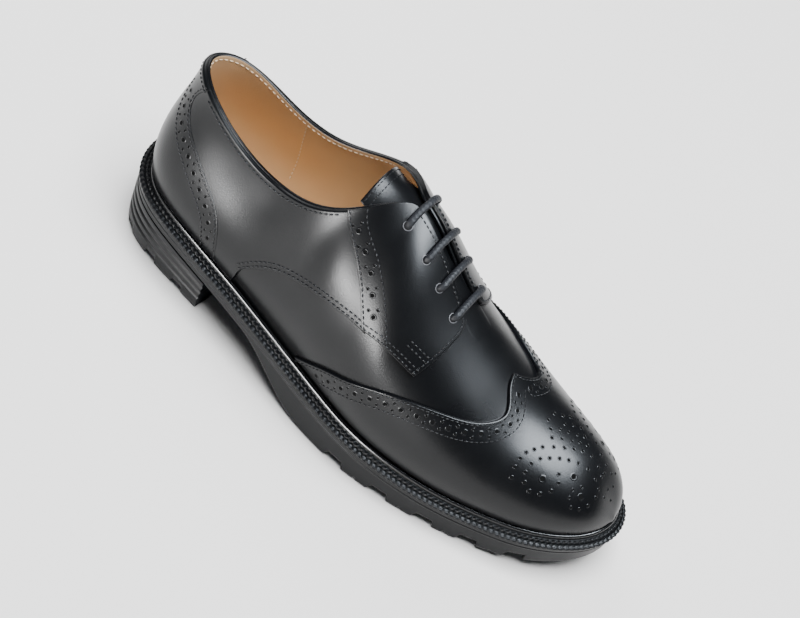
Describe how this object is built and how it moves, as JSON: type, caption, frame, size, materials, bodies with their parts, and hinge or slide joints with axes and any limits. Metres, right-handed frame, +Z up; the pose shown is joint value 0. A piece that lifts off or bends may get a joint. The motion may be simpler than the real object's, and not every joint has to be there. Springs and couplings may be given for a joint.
{
  "type": "wing-tip derby brogue",
  "caption": "Right-foot wing-tip derby brogue: black leather upper with wing cap, heel counter and open lacing, on a storm welt and a lugged rubber sole with a ribbed heel",
  "frame": {"origin": "middle of the bounding box, on the floor that the heel and the tread stand on", "axes": "+X to the toe, +Y to the inner (medial) side of the right foot, +Z up"},
  "size_m": [0.3054, 0.1087, 0.1275],
  "materials": {
    "upper_leather": "smooth black leather with a soft shine",
    "lining_leather": "tan lining leather, matt",
    "sole_rubber": "black moulded rubber, satin",
    "lace_cord": "round waxed navy-black cord"
  },
  "bodies": {
    "root": {"upper": "upper_leather", "wing_cap": "upper_leather", "quarter_lateral": "upper_leather", "quarter_medial": "upper_leather", "facing_lateral": "upper_leather", "facing_medial": "upper_leather", "heel_counter": "upper_leather", "tongue": "upper_leather", "insole": "lining_leather", "welt": "sole_rubber", "outsole": "sole_rubber", "heel": "sole_rubber", "lace_bar_1": "lace_cord", "lace_bar_2": "lace_cord", "lace_bar_3": "lace_cord", "lace_bar_4": "lace_cord"}
  },
  "joints": []
}
